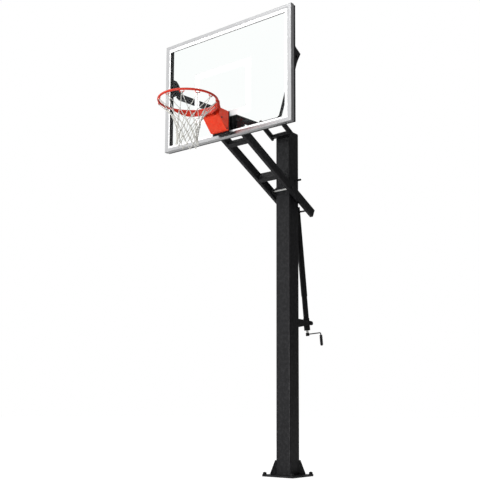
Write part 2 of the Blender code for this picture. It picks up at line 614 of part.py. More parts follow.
# orange housing: sloping front, open at the back
prof = [(-0.9775, 2.8885), (-0.9775, 3.0550), (-1.0950, 3.0550), (-1.1060, 2.9900), (-1.0050, 2.8885)]
box = plate_x("rim_housing", prof, -BOX_HALF, BOX_HALF, ORANGE, rim)
w = BOX_WALL
inner = [(-0.9600, 2.8885 + w), (-0.9600, 3.0550 - w - 0.004), (-1.0950 + w, 3.0550 - w - 0.004),
         (-1.1060 + w * 1.15, 2.9900 + 0.001), (-1.0050 + w * 0.4, 2.8885 + w)]
cut(box, helper(plate_x("rim_housing_inner", inner, -BOX_HALF + w, BOX_HALF - w, None, rim)))
bev = box.modifiers.new("edge", 'BEVEL')
bev.width = 0.0015
bev.segments = 2
bev.limit_method = 'ANGLE'
bev.angle_limit = math.radians(40)

# ring: rod, flange and the curved strap under its back
bm = bmesh.new()
NR, NS = 48, 8
loops = []
for i in range(NR):
    a = 2 * math.pi * i / NR
    c = Vector((RING_R * math.sin(a), yr + RING_R * math.cos(a), zr))
    out = Vector((math.sin(a), math.cos(a), 0))
    loops.append([c + out * (ROD_R * math.cos(2 * math.pi * k / NS))
                  + Z * (ROD_R * math.sin(2 * math.pi * k / NS)) for k in range(NS)])
loft(bm, loops, ring=True)
ring = finish("rim_ring", bm, ORANGE, rim, smooth=50)

# crescent plate welded under the back half of the rod
FL_A = math.radians(65.8)
flange = []
for k in range(25):
    a = -FL_A + 2 * FL_A * k / 24
    flange.append((RING_R * math.sin(a), yr + RING_R * math.cos(a)))
wing = [(0.2250, -1.2900), (0.2110, -1.2600), (0.1960, -1.2300), (0.1600, -1.1830), (0.1190, -1.1240),
        (0.0890, -1.1000)]
flange += wing[1:]
flange += [(-x, y) for x, y in reversed(wing[1:])]
bm = bmesh.new()
loft(bm, [[Vector((x, y, z)) for x, y in flange] for z in (zr - 0.0115, zr - 0.0055)])
fl = finish("ring_flange", bm, None, rim)

# upright strap that follows the rod's underside round the back, thinning out toward its ends
STRAP = [(0, 0.050), (30, 0.050), (42, 0.047), (52, 0.038), (60, 0.028), (68, 0.017), (72, 0.0125)]


def strap_depth(deg):
    a = abs(deg)
    for (a0, d0), (a1, d1) in zip(STRAP, STRAP[1:]):
        if a <= a1:
            return d0 + (d1 - d0) * (a - a0) / (a1 - a0)
    return STRAP[-1][1]


bm = bmesh.new()
loops = []
for k in range(37):
    deg = -72 + 4 * k
    a = math.radians(deg)
    out = Vector((math.sin(a), math.cos(a), 0))
    c = Vector((0, yr, zr))
    d = strap_depth(deg)
    loops.append([c + out * (RING_R + e) + Z * z for e, z in
                  ((-0.003, -0.0040), (0.003, -0.0040), (0.003, -d), (-0.003, -d))])
loft(bm, loops)
strap = finish("ring_strap", bm, None, rim)
webs = []
for side, tag in ((-1, "left"), (1, "right")):
    prof = [(yr + RING_R - 0.0045, zr - 0.0080), (-1.1070, zr - 0.0080), (-1.1070, zr - 0.0480),
            (yr + RING_R - 0.0045, zr - 0.0480)]
    webs.append(plate_x("ring_web_" + tag, prof, side * 0.040, side * 0.046, None, rim))
fuse(ring, fl, strap, *webs)

# return spring on its bolt, inside the housing
coil_c = Vector((0, -0.9790, 3.012))
bm = bmesh.new()
turns, per, rs, rw = 5, 12, 0.0130, 0.0022
loops = []
for i in range(turns * per + 1):
    a = 2 * math.pi * i / per
    c = coil_c + Vector((rs * math.cos(a), -0.014 - 0.060 * i / (turns * per), rs * math.sin(a)))
    out = Vector((math.cos(a), 0, math.sin(a)))
    loops.append([c + out * (rw * math.cos(2 * math.pi * k / 6)) + Y * (rw * math.sin(2 * math.pi * k / 6))
                  for k in range(6)])
loft(bm, loops)
finish("rim_spring", bm, SPRING, rim, smooth=60)
spring_bolt = rod("rim_spring_bolt", coil_c - Y * 0.004, coil_c - Y * 0.086, 0.0080, ZINC, rim, n=16)
sb_head = rod("rim_spring_washer", coil_c - Y * 0.0775, coil_c - Y * 0.0850, 0.0155, None, rim, n=16)
fuse(spring_bolt, sb_head)

# net: a funnel, open at both ends
prof = [(3.0190, 0.2235), (2.9850, 0.1780), (2.9400, 0.1290), (2.8730, 0.1030), (2.7900, 0.0865),
        (2.7500, 0.0830), (2.7000, 0.0870), (NET_BOTTOM, 0.0970)]
NN = 24
bm = bmesh.new()
outer = [circle((0, yr, z), X, Y, r, NN) for z, r in prof]
inner_l = [circle((0, yr, z), X, Y, r - 0.005, NN) for z, r in reversed(prof)]
loft(bm, outer + inner_l, ring=True)
finish("net_funnel", bm, ROPE, rim, smooth=60)

# ------------------------------------------------------------- screw jack
JD = (Vector((0, JACK_E[0], JACK_E[1])) - T)
JACK_L = JD.length
JD.normalize()
JV = Vector((0, -JD.z, JD.y))            # across the jack, away from the pole
jack = empty("jack_axis", 0, T.y, T.z, lift)


def jp(u, v=0.0, x=0.0):
    return T + JD * u + JV * v + X * x


sleeve = rod("jack_sleeve", jp(-0.045), jp(0.793), SLEEVE_R, BLACK, jack, n=24, bore=SLEEVE_BORE)
cut(sleeve, hole_x("sleeve_bore", T.y, T.z, -0.05, 0.05, JACK_PIN_R + HOLE, jack))
push = rod("jack_push_tube", jp(0.040), jp(0.780), PUSH_R, ZINC, jack, n=24)
head = rod("jack_head_plug", jp(-0.0445), jp(0.045), SLEEVE_BORE - GAP, None, jack, n=24)
nut = rod("jack_nut", jp(0.755), jp(0.790), TUBE_BORE - 0.0006, None, jack, n=24)
fuse(push, head, nut)
cut(push, hole_x("head_bore", T.y, T.z, -0.05, 0.05, JACK_PIN_R + HOLE, jack),
    helper(rod("push_bore", jp(0.060), jp(0.800), PUSH_BORE, None, jack, n=24)))

slide = empty("jack_slide_axis", 0, JACK_E[0], JACK_E[1], jack)
tube = rod("jack_lower_tube", jp(0.430), jp(0.9995), TUBE_R, BLACK, slide, n=24, bore=TUBE_BORE)
housing = turned("jack_housing", jp(0.9998), JD,
                 [(0.0, HOUSING_R - 0.002), (0.002, HOUSING_R), (0.113, HOUSING_R), (0.1155, HOUSING_R - 0.0025)],
                 BLACK, slide, n=24, bore=SHAFT_R + 0.0006)
pin_l = rod("trunnion_left", jp(JACK_L, 0, -0.033), jp(JACK_L, 0, -0.020), 0.010, None, slide)
pin_r = rod("trunnion_right", jp(JACK_L, 0, 0.020), jp(JACK_L, 0, 0.033), 0.010, None, slide)
fuse(housing, pin_l, pin_r)

crank_u = 1.152
crank = empty("crank_axis", 0, jp(crank_u).y, jp(crank_u).z, slide)
screw = turned("crank_screw", jp(0.500), JD,
               [(0.0, SCREW_R - 0.002), (0.002, SCREW_R), (0.498, SCREW_R), (0.4985, SHAFT_R), (0.668, SHAFT_R)],
               ZINC, crank, n=20)
hub = turned("crank_arm", jp(1.139), JD, [(0.0, 0.0165), (0.029, 0.0165)], BLACK, crank, n=24,
             bore=SHAFT_R + GAP)
# swept rod: out from the hub, round the bend, down to the spindle
BEND = 0.016
path = [jp(crank_u, 0.0140), jp(crank_u, 0.060), jp(crank_u, 0.140)]
for k in range(7):
    a = math.radians(90 * k / 6)
    path.append(jp(crank_u + BEND - BEND * math.cos(a), CRANK_R - BEND + BEND * math.sin(a)))
path += [jp(crank_u + 0.122, CRANK_R)]
bm = bmesh.new()
loops = []
for i, p in enumerate(path):
    t = (path[min(i + 1, len(path) - 1)] - path[max(i - 1, 0)]).normalized()
    n2 = t.cross(X).normalized()
    r = 0.0055 if i < len(path) - 2 else 0.0055
    loops.append([p + X * (r * math.cos(2 * math.pi * k / 12)) + n2 * (r * math.sin(2 * math.pi * k / 12))
                  for k in range(12)])
loft(bm, loops)
arm_rod = finish("crank_rod", bm, None, crank)
fuse(hub, arm_rod, rod("crank_rod_end", jp(crank_u + 0.1215, CRANK_R), jp(crank_u + 0.1250, CRANK_R), 0.0095,
                       None, crank, n=16))
hub.data.shade_smooth()
hub.data.set_sharp_from_angle(angle=math.radians(40))

grip_axis = empty("grip_axis", 0, jp(crank_u, CRANK_R).y, jp(crank_u, CRANK_R).z, crank)
turned("crank_grip", jp(crank_u + 0.0210, CRANK_R), JD,
       [(0.0, GRIP_R - 0.003), (0.004, GRIP_R), (0.050, GRIP_R + 0.0008), (0.095, GRIP_R), (0.0995, GRIP_R - 0.003)],
       PLASTIC, grip_axis, n=24, bore=0.0061)
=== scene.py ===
import bpy
import bmesh
import json
import math
import random
from mathutils import Vector, Matrix, noise


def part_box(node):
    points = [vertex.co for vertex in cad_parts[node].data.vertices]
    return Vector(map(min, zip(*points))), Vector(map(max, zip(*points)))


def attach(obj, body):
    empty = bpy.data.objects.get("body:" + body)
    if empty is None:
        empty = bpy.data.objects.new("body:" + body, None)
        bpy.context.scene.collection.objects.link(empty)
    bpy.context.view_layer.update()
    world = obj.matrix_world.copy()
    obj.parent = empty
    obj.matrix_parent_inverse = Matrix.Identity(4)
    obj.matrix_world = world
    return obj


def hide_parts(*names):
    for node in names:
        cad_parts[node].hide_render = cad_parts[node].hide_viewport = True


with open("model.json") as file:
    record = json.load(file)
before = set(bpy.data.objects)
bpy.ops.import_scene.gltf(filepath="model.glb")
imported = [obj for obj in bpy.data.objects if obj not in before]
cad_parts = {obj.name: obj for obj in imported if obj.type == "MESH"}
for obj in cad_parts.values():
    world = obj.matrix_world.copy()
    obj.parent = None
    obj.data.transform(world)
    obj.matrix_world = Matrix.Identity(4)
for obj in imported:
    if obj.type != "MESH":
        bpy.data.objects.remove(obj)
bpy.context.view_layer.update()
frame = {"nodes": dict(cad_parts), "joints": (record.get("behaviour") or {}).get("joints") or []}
nodes = frame["nodes"]
random.seed(7)

X, Y, Z = Vector((1, 0, 0)), Vector((0, 1, 0)), Vector((0, 0, 1))
scene = bpy.context.scene

# ------------------------------------------------------------------ camera
az, el, roll = math.radians(38.05), math.radians(7.02), math.radians(0.29)
fw = Vector((-math.sin(az) * math.cos(el), math.cos(az) * math.cos(el), math.sin(el)))
rt = Vector((math.cos(az), math.sin(az), 0))
up = rt.cross(fw)
r2 = math.cos(roll) * rt + math.sin(roll) * up
u2 = -math.sin(roll) * rt + math.cos(roll) * up
cam = bpy.data.cameras.new("camera")
cam.lens, cam.sensor_width = 60.51, 36.0
cam.shift_y = 0.1423
cam.clip_end = 200
cam_ob = bpy.data.objects.new("camera", cam)
scene.collection.objects.link(cam_ob)
cam_ob.matrix_world = Matrix(((r2.x, u2.x, -fw.x, 4.156), (r2.y, u2.y, -fw.y, -6.012),
                              (r2.z, u2.z, -fw.z, 0.603), (0, 0, 0, 1)))
scene.camera = cam_ob


# --------------------------------------------------------------- materials
def new_mat(name):
    m = bpy.data.materials.new(name)
    m.use_nodes = True
    nt = m.node_tree
    b = nt.nodes["Principled BSDF"]
    return m, nt, b


def node(nt, kind, **kw):
    n = nt.nodes.new(kind)
    for k, v in kw.items():
        if k in n.inputs:
            n.inputs[k].default_value = v
        else:
            setattr(n, k, v)
    return n


def ramp(nt, src, stops):
    r = nt.nodes.new("ShaderNodeValToRGB")
    e = r.color_ramp.elements
    e[0].position, e[0].color = stops[0][0], (*stops[0][1], 1)
    e[1].position, e[1].color = stops[-1][0], (*stops[-1][1], 1)
    for p, c in stops[1:-1]:
        k = e.new(p)
        k.color = (*c, 1)
    nt.links.new(src, r.inputs["Fac"])
    return r.outputs["Color"]


def coords(nt, scale=(1, 1, 1), rot=(0, 0, 0)):
    tc = nt.nodes.new("ShaderNodeTexCoord")
    mp = nt.nodes.new("ShaderNodeMapping")
    mp.inputs["Scale"].default_value = scale
    mp.inputs["Rotation"].default_value = rot
    nt.links.new(tc.outputs["Object"], mp.inputs["Vector"])
    return mp.outputs["Vector"]


def tex(nt, vec, scale, detail=3.0, rough=0.55):
    n = node(nt, "ShaderNodeTexNoise", Scale=scale, Detail=detail, Roughness=rough)
    nt.links.new(vec, n.inputs["Vector"])
    return n.outputs["Fac"]


def bump(nt, b, height, strength, distance):
    n = node(nt, "ShaderNodeBump", Strength=strength, Distance=distance)
    nt.links.new(height, n.inputs["Height"])
    nt.links.new(n.outputs["Normal"], b.inputs["Normal"])
    return n


def tri(c, k):
    return tuple(v * k for v in c)


def coat_paint(name, colour, rough=0.42, grain=900.0, vary=0.12, coat=0.0, edge=None, bump_k=0.12, spec=0.25):
    """Powder coat: orange-peel grain, faint cloudiness, slightly rubbed edges."""
    m, nt, b = new_mat(name)
    v = coords(nt)
    cloud = tex(nt, v, 2.6, 4.0)
    fine = tex(nt, v, 70.0, 4.0, 0.6)
    c1 = ramp(nt, cloud, [(0.30, tri(colour, 1 - vary)), (0.70, tri(colour, 1 + vary))])
    c2 = ramp(nt, fine, [(0.35, (0.90, 0.90, 0.90)), (0.65, (1.06, 1.06, 1.06))])
    mx = nt.nodes.new("ShaderNodeMix")
    mx.data_type, mx.blend_type = 'RGBA', 'MULTIPLY'
    mx.inputs["Factor"].default_value = 1.0
    nt.links.new(c1, mx.inputs["A"])
    nt.links.new(c2, mx.inputs["B"])
    out = mx.outputs["Result"]
    if edge is not None:
        geo = nt.nodes.new("ShaderNodeNewGeometry")
        pt = ramp(nt, geo.outputs["Pointiness"], [(0.515, (0, 0, 0)), (0.56, (1, 1, 1))])
        wear = tex(nt, v, 38.0, 5.0, 0.7)
        wr = ramp(nt, wear, [(0.45, (0, 0, 0)), (0.62, (0.5, 0.5, 0.5))])
        ml = nt.nodes.new("ShaderNodeMix")
        ml.data_type, ml.blend_type = 'RGBA', 'MULTIPLY'
        ml.inputs["Factor"].default_value = 1.0
        nt.links.new(pt, ml.inputs["A"])
        nt.links.new(wr, ml.inputs["B"])
        me = nt.nodes.new("ShaderNodeMix")
        me.data_type = 'RGBA'
        nt.links.new(ml.outputs["Result"], me.inputs["Factor"])
        nt.links.new(out, me.inputs["A"])
        me.inputs["B"].default_value = (*edge, 1)
        out = me.outputs["Result"]
    nt.links.new(out, b.inputs["Base Color"])
    rr = ramp(nt, tex(nt, v, 9.0, 4.0), [(0.3, (rough - 0.05,) * 3), (0.7, (rough + 0.07,) * 3)])
    nt.links.new(rr, b.inputs["Roughness"])
    b.inputs["Specular IOR Level"].default_value = spec
    b.inputs["Coat Weight"].default_value = coat
    b.inputs["Coat Roughness"].default_value = 0.18
    bump(nt, b, tex(nt, v, grain, 2.0), bump_k, 0.0006)
    return m


def metal(name, colour, rough, stretch=(1, 1, 1), vary=0.10, grain=260.0, bump_k=0.06):
    """Plated or extruded metal, its fine lines along the stretched axis."""
    m, nt, b = new_mat(name)
    v = coords(nt, stretch)
    lines = tex(nt, v, grain, 3.0, 0.6)
    cloud = tex(nt, coords(nt), 5.0, 4.0)
    c1 = ramp(nt, cloud, [(0.3, tri(colour, 1 - vary)), (0.7, tri(colour, 1.0 + vary * 0.4))])
    c2 = ramp(nt, lines, [(0.3, (0.93,) * 3), (0.7, (1.0,) * 3)])
    mx = nt.nodes.new("ShaderNodeMix")
    mx.data_type, mx.blend_type = 'RGBA', 'MULTIPLY'
    mx.inputs["Factor"].default_value = 1.0
    nt.links.new(c1, mx.inputs["A"])
    nt.links.new(c2, mx.inputs["B"])
    nt.links.new(mx.outputs["Result"], b.inputs["Base Color"])
    nt.links.new(ramp(nt, lines, [(0.3, (rough - 0.06,) * 3), (0.7, (rough + 0.08,) * 3)]), b.inputs["Roughness"])
    b.inputs["Metallic"].default_value = 1.0
    bump(nt, b, lines, bump_k, 0.0003)
    return m


BLACK = coat_paint("powder_coat_black", (0.0062, 0.0062, 0.0072), 0.40, edge=(0.028, 0.028, 0.030), spec=0.20)
BLACK_FINE = coat_paint("powder_coat_black_fine", (0.0055, 0.0055, 0.0062), 0.46, edge=(0.025, 0.025, 0.027), spec=0.18)
ORANGE = coat_paint("powder_coat_orange", (0.94, 0.050, 0.015), 0.44, vary=0.06, coat=0.04, spec=0.2,
                    edge=(0.85, 0.13, 0.06))
# the rim's rod, flange plate, strap and hooks use the housing's own orange drawn darker: painted shade standing in for
# the weakly lit ring
ORANGE_SHADED = coat_paint("powder_coat_orange_painted_shade", (0.54, 0.028, 0.013), 0.44, vary=0.06, coat=0.04, spec=0.2,
                         edge=(0.66, 0.10, 0.05))
PLASTIC = coat_paint("plastic_black", (0.018, 0.018, 0.019), 0.55, grain=1500.0, vary=0.08)
OXIDE = metal("black_oxide_steel", (0.06, 0.06, 0.062), 0.42, vary=0.2)
ZINC = metal("zinc_bright", (0.74, 0.74, 0.72), 0.28, (0.25, 1, 1), vary=0.14)
ZINC_Z = metal("zinc_bright_upright", (0.70, 0.70, 0.68), 0.30, (1, 1, 0.25), vary=0.16)
ALU_X = metal("satin_aluminium_rails", (0.56, 0.562, 0.57), 0.30, (0.02, 1, 1), vary=0.05, grain=420.0)
ALU_Z = metal("satin_aluminium_uprights", (0.56, 0.562, 0.57), 0.30, (1, 1, 0.02), vary=0.05, grain=420.0)
SPRING = metal("spring_wire", (0.28, 0.28, 0.29), 0.34, vary=0.15)


def glass_mat():
    m, nt, b = new_mat("tempered_glass")
    v = coords(nt)
    c = ramp(nt, tex(nt, v, 1.2, 2.0), [(0.3, (0.955, 0.985, 0.975)), (0.7, (0.975, 0.99, 0.985))])
    nt.links.new(c, b.inputs["Base Color"])
    b.inputs["Roughness"].default_value = 0.0
    b.inputs["IOR"].default_value = 1.18
    b.inputs["Transmission Weight"].default_value = 1.0
    lp = nt.nodes.new("ShaderNodeLightPath")
    tr = nt.nodes.new("ShaderNodeBsdfTransparent")
    tr.inputs["Color"].default_value = (0.93, 0.96, 0.95, 1)
    mix = nt.nodes.new("ShaderNodeMixShader")
    nt.links.new(lp.outputs["Is Shadow Ray"], mix.inputs["Fac"])
    nt.links.new(b.outputs["BSDF"], mix.inputs[1])
    nt.links.new(tr.outputs["BSDF"], mix.inputs[2])
    nt.links.new(mix.outputs["Shader"], nt.nodes["Material Output"].inputs["Surface"])
    return m


GLASS = glass_mat()


def print_mat():
    m, nt, b = new_mat("white_screen_print")
    v = coords(nt)
    c = ramp(nt, tex(nt, v, 14.0, 4.0), [(0.3, (0.94, 0.94, 0.945)), (0.7, (0.97, 0.97, 0.97))])
    nt.links.new(c, b.inputs["Base Color"])
    nt.links.new(ramp(nt, tex(nt, v, 240.0, 2.0), [(0.3, (0.38,) * 3), (0.7, (0.50,) * 3)]), b.inputs["Roughness"])
    bump(nt, b, tex(nt, v, 700.0, 2.0), 0.05, 0.0002)
    return m


PRINT = print_mat()


def rope_mat():
    """Braided cord: strand pattern from the tube's own UV with painted shade in the grooves between strands, slightly
    warm and worn.
    """
    m, nt, b = new_mat("braided_cord")
    uv = nt.nodes.new("ShaderNodeUVMap")
    uv.uv_map = "cord"
    mp = nt.nodes.new("ShaderNodeMapping")
    mp.inputs["Scale"].default_value = (1, 1, 1)
    nt.links.new(uv.outputs["UV"], mp.inputs["Vector"])
    waves = []
    for sgn in (1, -1):
        w = nt.nodes.new("ShaderNodeTexWave")
        w.wave_type, w.bands_direction, w.wave_profile = 'BANDS', 'X', 'SIN'
        w.inputs["Scale"].default_value = 1.0
        rot = nt.nodes.new("ShaderNodeMapping")
        rot.inputs["Rotation"].default_value = (0, 0, sgn * math.radians(38))
        rot.inputs["Scale"].default_value = (160, 2.0, 1)
        nt.links.new(mp.outputs["Vector"], rot.inputs["Vector"])
        nt.links.new(rot.outputs["Vector"], w.inputs["Vector"])
        waves.append(w.outputs["Fac"])
    mx = nt.nodes.new("ShaderNodeMath")
    mx.operation = 'MAXIMUM'
    nt.links.new(waves[0], mx.inputs[0])
    nt.links.new(waves[1], mx.inputs[1])
    v = coords(nt)
    # grey-cream cord, darker where both strand bands are low (the grooves the bump sinks): painted shade in the braid's
    # creases
    c1 = ramp(nt, mx.outputs[0], [(0.0, (0.36, 0.36, 0.335)), (0.8, (0.62, 0.618, 0.59))])
    c2 = ramp(nt, tex(nt, v, 16.0, 4.0), [(0.35, (0.93, 0.92, 0.88)), (0.65, (1.0, 1.0, 1.0))])
    mm = nt.nodes.new("ShaderNodeMix")
    mm.data_type, mm.blend_type = 'RGBA', 'MULTIPLY'
    mm.inputs["Factor"].default_value = 1.0
    nt.links.new(c1, mm.inputs["A"])
    nt.links.new(c2, mm.inputs["B"])
    nt.links.new(mm.outputs["Result"], b.inputs["Base Color"])
    b.inputs["Roughness"].default_value = 0.85
    b.inputs["Sheen Weight"].default_value = 0.25
    bump(nt, b, mx.outputs[0], 0.5, 0.0008)
    return m


ROPE = rope_mat()


def floor_mat():
    m, nt, b = new_mat("studio_floor")
    v = coords(nt)
    noise_ = tex(nt, v, 3.0, 3.0)
    seen = ramp(nt, noise_, [(0.3, (0.40, 0.40, 0.40)), (0.7, (0.42, 0.42, 0.42))])
    lit = ramp(nt, noise_, [(0.3, (0.82, 0.82, 0.82)), (0.7, (0.85, 0.85, 0.85))])
    lp = nt.nodes.new("ShaderNodeLightPath")
    mx = nt.nodes.new("ShaderNodeMix")
    mx.data_type = 'RGBA'
    see = node(nt, "ShaderNodeMath", operation='MAXIMUM')
    nt.links.new(lp.outputs["Is Camera Ray"], see.inputs[0])
    nt.links.new(lp.outputs["Is Transmission Ray"], see.inputs[1])
    nt.links.new(see.outputs[0], mx.inputs["Factor"])
    nt.links.new(lit, mx.inputs["A"])
    nt.links.new(seen, mx.inputs["B"])
    nt.links.new(mx.outputs["Result"], b.inputs["Base Color"])
    b.inputs["Roughness"].default_value = 0.8
    b.inputs["Specular IOR Level"].default_value = 0.1
    b.inputs["Emission Color"].default_value = (1, 1, 1, 1)
    e = node(nt, "ShaderNodeMath", operation='MULTIPLY')
    e.inputs[1].default_value = 0.80
    nt.links.new(see.outputs[0], e.inputs[0])
    nt.links.new(e.outputs[0], b.inputs["Emission Strength"])
    return m


def dress(name, mat):
    ob = nodes[name]
    if not ob.material_slots:
        ob.data.materials.append(mat)
    for s in ob.material_slots:
        s.material = mat


for n, ob in nodes.items():
    dress(n, BLACK)
for n in ("pole_cap", "arm_end_plug_left", "arm_end_plug_right"):
    dress(n, PLASTIC)
for n in ("rim_housing", "rim_ring"):
    dress(n, ORANGE)
for n in ("lower_hinge_bar",):
    dress(n, ZINC)
for n in ("crank_screw", "jack_push_tube", "rim_spring_bolt"):
    dress(n, ZINC_Z)
for n in ("stop_peg", "upper_hinge_bolt", "jack_top_pin", "lower_board_bolt", "upper_board_bolt_left", "upper_board_bolt_right"):
    dress(n, OXIDE)
dress("rim_spring", SPRING)
dress("glass_panel", GLASS)
for n in ("jack_sleeve", "jack_lower_tube", "jack_housing", "crank_arm", "rim_mount", "lower_board_bracket"):
    dress(n, BLACK_FINE)


# ------------------------------------------------------------- mesh helpers
def mesh_object(name, bm, mats, smooth=30.0):
    bmesh.ops.recalc_face_normals(bm, faces=bm.faces)
    me = bpy.data.meshes.new(name)
    bm.to_mesh(me)
    bm.free()
    for m in (mats if isinstance(mats, (list, tuple)) else [mats]):
        me.materials.append(m)
    ob = bpy.data.objects.new(name, me)
    scene.collection.objects.link(ob)
    if smooth is not None:
        me.shade_smooth()
        me.set_sharp_from_angle(angle=math.radians(smooth))
    return ob


def skin(bm, loops, closed=False, caps=True, mat_index=0):
    vs = [[bm.verts.new(p) for p in lp] for lp in loops]
    n = len(vs[0])
    pairs = list(zip(vs[:-1], vs[1:]))
    if closed:
        pairs.append((vs[-1], vs[0]))
    for a, b in pairs:
        for i in range(n):
            j = (i + 1) % n
            f = bm.faces.new((a[i], a[j], b[j], b[i]))
            f.material_index = mat_index
    if caps and not closed:
        f = bm.faces.new(list(reversed(vs[0])))
        f.material_index = mat_index
        f = bm.faces.new(vs[-1])
        f.material_index = mat_index


def frame_of(axis):
    a = Vector(axis).normalized()
    t = Z if abs(a.z) < 0.9 else X
    u = a.cross(t).normalized()
    return a, u, a.cross(u).normalized()


def ring_pts(c, u, v, r, n, ph=0.0):
    return [c + u * (r * math.cos(2 * math.pi * k / n + ph)) + v * (r * math.sin(2 * math.pi * k / n + ph))
            for k in range(n)]


def lathe(bm, p0, axis, prof, n=40, mat_index=0):
    a, u, v = frame_of(axis)
    skin(bm, [ring_pts(Vector(p0) + a * s, u, v, r, n) for s, r in prof], mat_index=mat_index)


def hexagon(bm, p0, axis, r, h, mat_index=0, washer=True, dome=False, n=48):
    """Hex head or nut with chamfered corners; r is the corner radius."""
    a, u, v = frame_of(axis)
    flat = r * math.cos(math.pi / 6)

    def loop(s, lim):
        pts = []
        for k in range(n):
            t = 2 * math.pi * k / n
            q = (t + math.pi / 6) % (math.pi / 3) - math.pi / 6
            rr = min(flat / math.cos(q), lim)
            pts.append(Vector(p0) + a * s + u * (rr * math.cos(t)) + v * (rr * math.sin(t)))
        return pts
    c = h * 0.16
    loops = [loop(0, flat * 0.985), loop(c * 0.6, r), loop(h - c, r), loop(h, flat * 0.96)]
    if dome:
        loops += [loop(h + h * 0.04, flat * 0.7)]
    skin(bm, loops, mat_index=mat_index)


def tube(bm, pts, r, n=10, closed=False, mat_index=0, uv=None, v0=0.0, radii=None):
    """Round tube along points with a steady frame."""
    pts = [Vector(p) for p in pts]
    m = len(pts)
    tans = []
    for i in range(m):
        if closed:
            t = pts[(i + 1) % m] - pts[i - 1]
        else:
            t = pts[min(i + 1, m - 1)] - pts[max(i - 1, 0)]
        tans.append(t.normalized())
    t0 = tans[0]
    nrm = t0.cross(Z if abs(t0.z) < 0.9 else X).normalized()
    loops, dist, ds = [], 0.0, []
    for i in range(m):
        if i:
            nrm = (nrm - tans[i] * nrm.dot(tans[i])).normalized()
            dist += (pts[i] - pts[i - 1]).length
        ds.append(dist)
        b = tans[i].cross(nrm)
        rr = radii[i] if radii else r
        loops.append([pts[i] + nrm * (rr * math.cos(2 * math.pi * k / n)) + b * (rr * math.sin(2 * math.pi * k / n))
                      for k in range(n)])
    vs = [[bm.verts.new(p) for p in lp] for lp in loops]
    rng = range(m) if closed else range(m - 1)
    lay = bm.loops.layers.uv.get("cord") if uv else None
    for i in rng:
        j = (i + 1) % m
        for k in range(n):
            l = (k + 1) % n
            f = bm.faces.new((vs[i][k], vs[i][l], vs[j][l], vs[j][k]))
            f.material_index = mat_index
            if lay:
                d0, d1 = ds[i], ds[i + 1] if i + 1 < m else ds[i]
                for lp, (uu, vv) in zip(f.loops, ((d0, k / n), (d0, (k + 1) / n), (d1, (k + 1) / n), (d1, k / n))):
                    lp[lay].uv = (uu + v0, vv)
    if not closed:
        for e, order in ((0, True), (m - 1, False)):
            f = bm.faces.new(list(reversed(vs[e])) if order else vs[e])
            f.material_index = mat_index


# ------------------------------------------------------------ board's edges
lo_g, hi_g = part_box("glass_panel")
lo_tb, hi_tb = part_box("trim_bottom")
lo_tt, hi_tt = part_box("trim_top")
lo_tl, hi_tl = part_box("trim_left")
lo_tr, hi_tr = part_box("trim_right")
bx0, bx1 = lo_tl.x, hi_tr.x
bz0, bz1 = lo_tb.z, hi_tt.z
by0, by1 = lo_tb.y, hi_tb.y
side_w = hi_tl.x - lo_tl.x
tb_w = hi_tb.z - lo_tb.z


def trim_profile(width):
    """(across, depth) outline of the extrusion: crowned face, rounded nose, grooved side."""
    pts = [(width, 0.0030), (width, 0.0012), (width - 0.0010, 0.0006)]
    for k in range(7):                       # gently crowned face
        t = k / 6
        a = (width - 0.004) * (1 - t) + 0.0075 * t
        pts.append((a, 0.0006 - 0.0005 * math.sin(math.pi * t)))
    for k in range(7):                       # nose
        ang = math.radians(90 * k / 6)
        pts.append((0.0062 - 0.0060 * math.sin(ang), 0.0062 - 0.0060 * math.cos(ang)))
    for d0, d1, g in ((0.0090, 0.0112, 0.0013), (0.0290, 0.0305, 0.0010)):   # grooves along the side
        pts += [(0.0002, d0), (0.0002 + g, d0 + 0.0004), (0.0002 + g, d1 - 0.0004), (0.0002, d1)]
    pts += [(0.0002, 0.0372), (0.0008, 0.0379), (0.0028, 0.0379), (0.0030, 0.0372)]
    pts += [(0.0030, 0.0060), (0.0036, 0.0033), (0.0060, 0.0030)]
    return pts


def trim_piece(name, along, across, length, width, other, mat, cad):
    prof = trim_profile(width)
    slope = other / width
    centre = Vector(((bx0 + bx1) / 2, by0, (bz0 + bz1) / 2))
    outer = (bz1 - bz0) / 2 if abs(across.z) > 0.5 else (bx1 - bx0) / 2
    c = centre - across * outer
    bm = bmesh.new()
    steps = 24
    loops = []
    for i in range(steps + 1):
        f = -1 + 2 * i / steps
        loops.append([c + across * a + Y * d + along * (f * (length / 2 - a * slope - 0.0002)) for a, d in prof])
    skin(bm, loops)
    ob = mesh_object(name, bm, mat, smooth=32)
    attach(ob, "board")
    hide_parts(cad)
    return ob


W, H = bx1 - bx0, bz1 - bz0
trim_piece("trim_extrusion_bottom", X, Z, W, tb_w, side_w, ALU_X, "trim_bottom")
trim_piece("trim_extrusion_top", X, -Z, W, tb_w, side_w, ALU_X, "trim_top")
trim_piece("trim_extrusion_left", Z, X, H, side_w, tb_w, ALU_Z, "trim_left")
trim_piece("trim_extrusion_right", Z, -X, H, side_w, tb_w, ALU_Z, "trim_right")

# white printed lines on the front of the glass
gy = lo_g.y


def print_frame(name, x0, x1, z0, z1, wx, wxr, wt, wb, rad):
    """Flat printed rectangle outline with its own small thickness."""
    def rect(xa, xb, za, zb, r, seg=5):
        pts = []
        for cx, cz, a0 in ((xb - r, za + r, -90), (xb - r, zb - r, 0), (xa + r, zb - r, 90), (xa + r, za + r, 180)):
            for k in range(seg + 1):
                a = math.radians(a0 + 90 * k / seg)
                pts.append((cx + r * math.cos(a), cz + r * math.sin(a)))
        return pts
    outer = rect(x0, x1, z0, z1, rad)
    inner = rect(x0 + wx, x1 - wxr, z0 + wb, z1 - wt, 0.002)
    ya, yb = gy - 0.00018, gy - 0.00006
    bm = bmesh.new()
    skin(bm, [[Vector((a, ya, b)) for a, b in outer], [Vector((a, yb, b)) for a, b in outer],
              [Vector((a, yb, b)) for a, b in inner], [Vector((a, ya, b)) for a, b in inner]], closed=True)
    ob = mesh_object(name, bm, PRINT, smooth=None)
    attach(ob, "board")
    return ob


